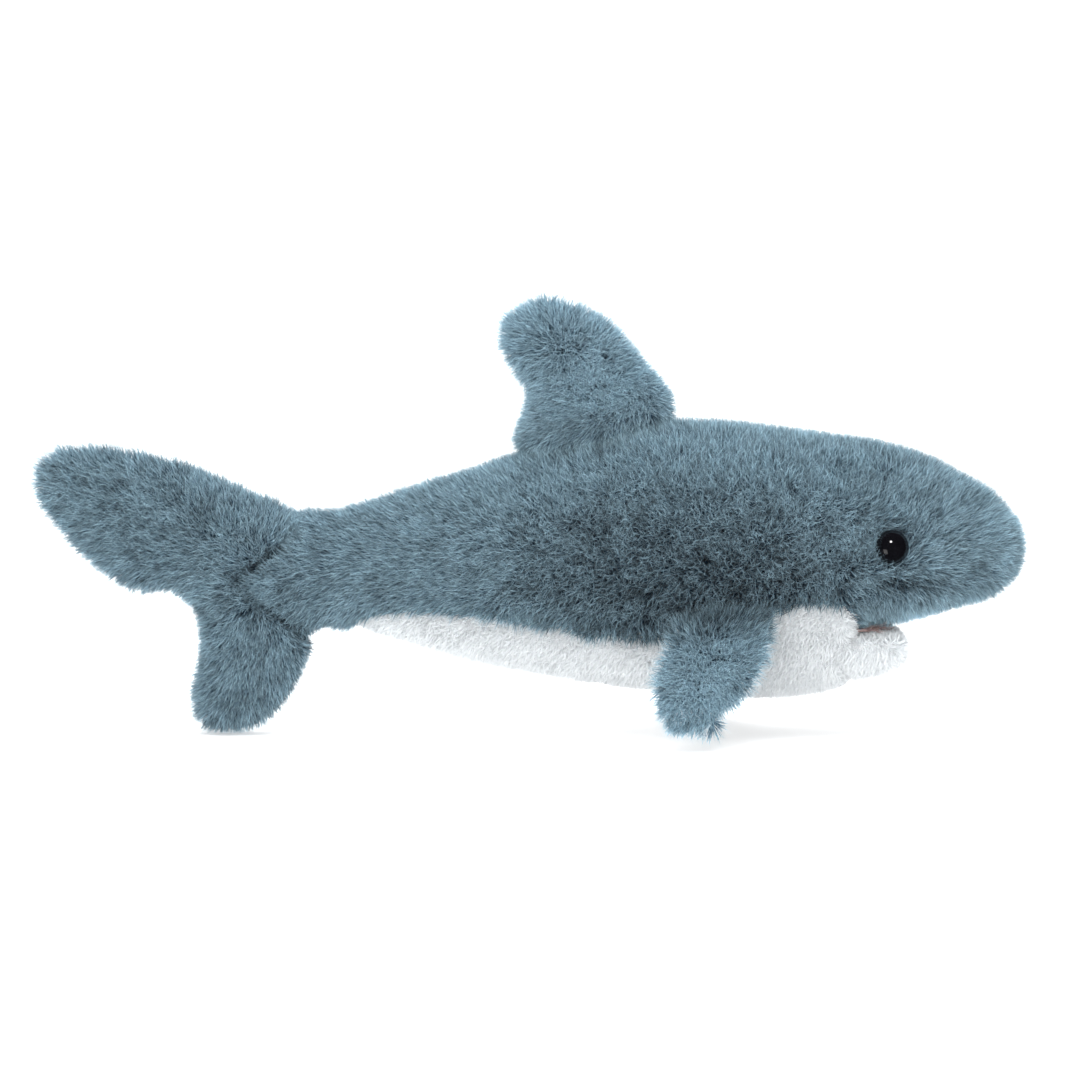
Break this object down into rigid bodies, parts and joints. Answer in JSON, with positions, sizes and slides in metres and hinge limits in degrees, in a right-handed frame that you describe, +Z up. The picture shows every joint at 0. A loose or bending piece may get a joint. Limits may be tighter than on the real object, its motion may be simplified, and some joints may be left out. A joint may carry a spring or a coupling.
{
  "type": "plush shark",
  "caption": "Stuffed plush shark in blue-grey and white long-pile cloth, with a bending tail stem, swinging tail fin, flapping side fins, leaning back fin and opening lower jaw.",
  "frame": {"origin": "middle of the outline's base: where the shark stands, halfway along and across it", "axes": "+X from tail to nose, +Y towards the shark's left side, +Z up"},
  "size_m": [0.3498, 0.1324, 0.1549],
  "materials": {
    "blue_plush": "matte",
    "white_plush": "matte",
    "pink_felt": "matte",
    "black_plastic": "gloss",
    "polyester_fibre": "matte",
    "nylon": "satin"
  },
  "bodies": {
    "body": {"belly_panel": "white_plush", "body_stuffing": "polyester_fibre", "left_eye": "black_plastic", "left_eye_washer": "nylon", "left_side_panel": "blue_plush", "muzzle_panel": "blue_plush", "right_eye": "black_plastic", "right_eye_washer": "nylon", "right_side_panel": "blue_plush", "upper_mouth_lining": "pink_felt"},
    "dorsal_fin": {"dorsal_left_panel": "blue_plush", "dorsal_right_panel": "blue_plush", "dorsal_stuffing": "polyester_fibre"},
    "left_pectoral_fin": {"left_pectoral_stuffing": "polyester_fibre", "left_pectoral_top": "blue_plush", "left_pectoral_underside": "white_plush"},
    "lower_jaw": {"lower_jaw_panel": "white_plush", "lower_jaw_stuffing": "polyester_fibre", "lower_mouth_lining": "pink_felt"},
    "right_pectoral_fin": {"right_pectoral_stuffing": "polyester_fibre", "right_pectoral_top": "blue_plush", "right_pectoral_underside": "white_plush"},
    "tail_fin": {"tail_fin_left_panel": "blue_plush", "tail_fin_right_panel": "blue_plush", "tail_fin_stuffing": "polyester_fibre"},
    "tail_stem": {"tail_stem_belly_panel": "white_plush", "tail_stem_left_panel": "blue_plush", "tail_stem_right_panel": "blue_plush", "tail_stem_stuffing": "polyester_fibre"}
  },
  "joints": [
    {"name": "tail_stem_bend", "type": "hinge", "parent": "body", "child": "tail_stem", "pos_m": [0.01, 0, 0.06], "axis": [0, 0, 1], "range_deg": [-20, 20], "stiffness_Nm_per_rad": 1.2},
    {"name": "tail_fin_swing", "type": "hinge", "parent": "tail_stem", "child": "tail_fin", "pos_m": [-0.068, 0, 0.0533], "axis": [0, 0, 1], "range_deg": [-40, 40], "stiffness_Nm_per_rad": 0.4},
    {"name": "dorsal_fin_lean", "type": "hinge", "parent": "body", "child": "dorsal_fin", "pos_m": [0.0249, 0, 0.11725], "axis": [0.9898, 0, 0.1422], "range_deg": [-30, 30], "stiffness_Nm_per_rad": 0.15},
    {"name": "right_pectoral_flap", "type": "hinge", "parent": "body", "child": "right_pectoral_fin", "pos_m": [0.066, -0.0449, 0.0392], "axis": [-0.986, 0, -0.1668], "range_deg": [-15, 55], "stiffness_Nm_per_rad": 0.5},
    {"name": "left_pectoral_flap", "type": "hinge", "parent": "body", "child": "left_pectoral_fin", "pos_m": [0.066, 0.0449, 0.0392], "axis": [0.986, 0, 0.1668], "range_deg": [-15, 55], "stiffness_Nm_per_rad": 0.5},
    {"name": "jaw_open", "type": "hinge", "parent": "body", "child": "lower_jaw", "pos_m": [0.1126, 0, 0.037], "axis": [0, 1, 0], "range_deg": [0, 12], "stiffness_Nm_per_rad": 0.3}
  ]
}
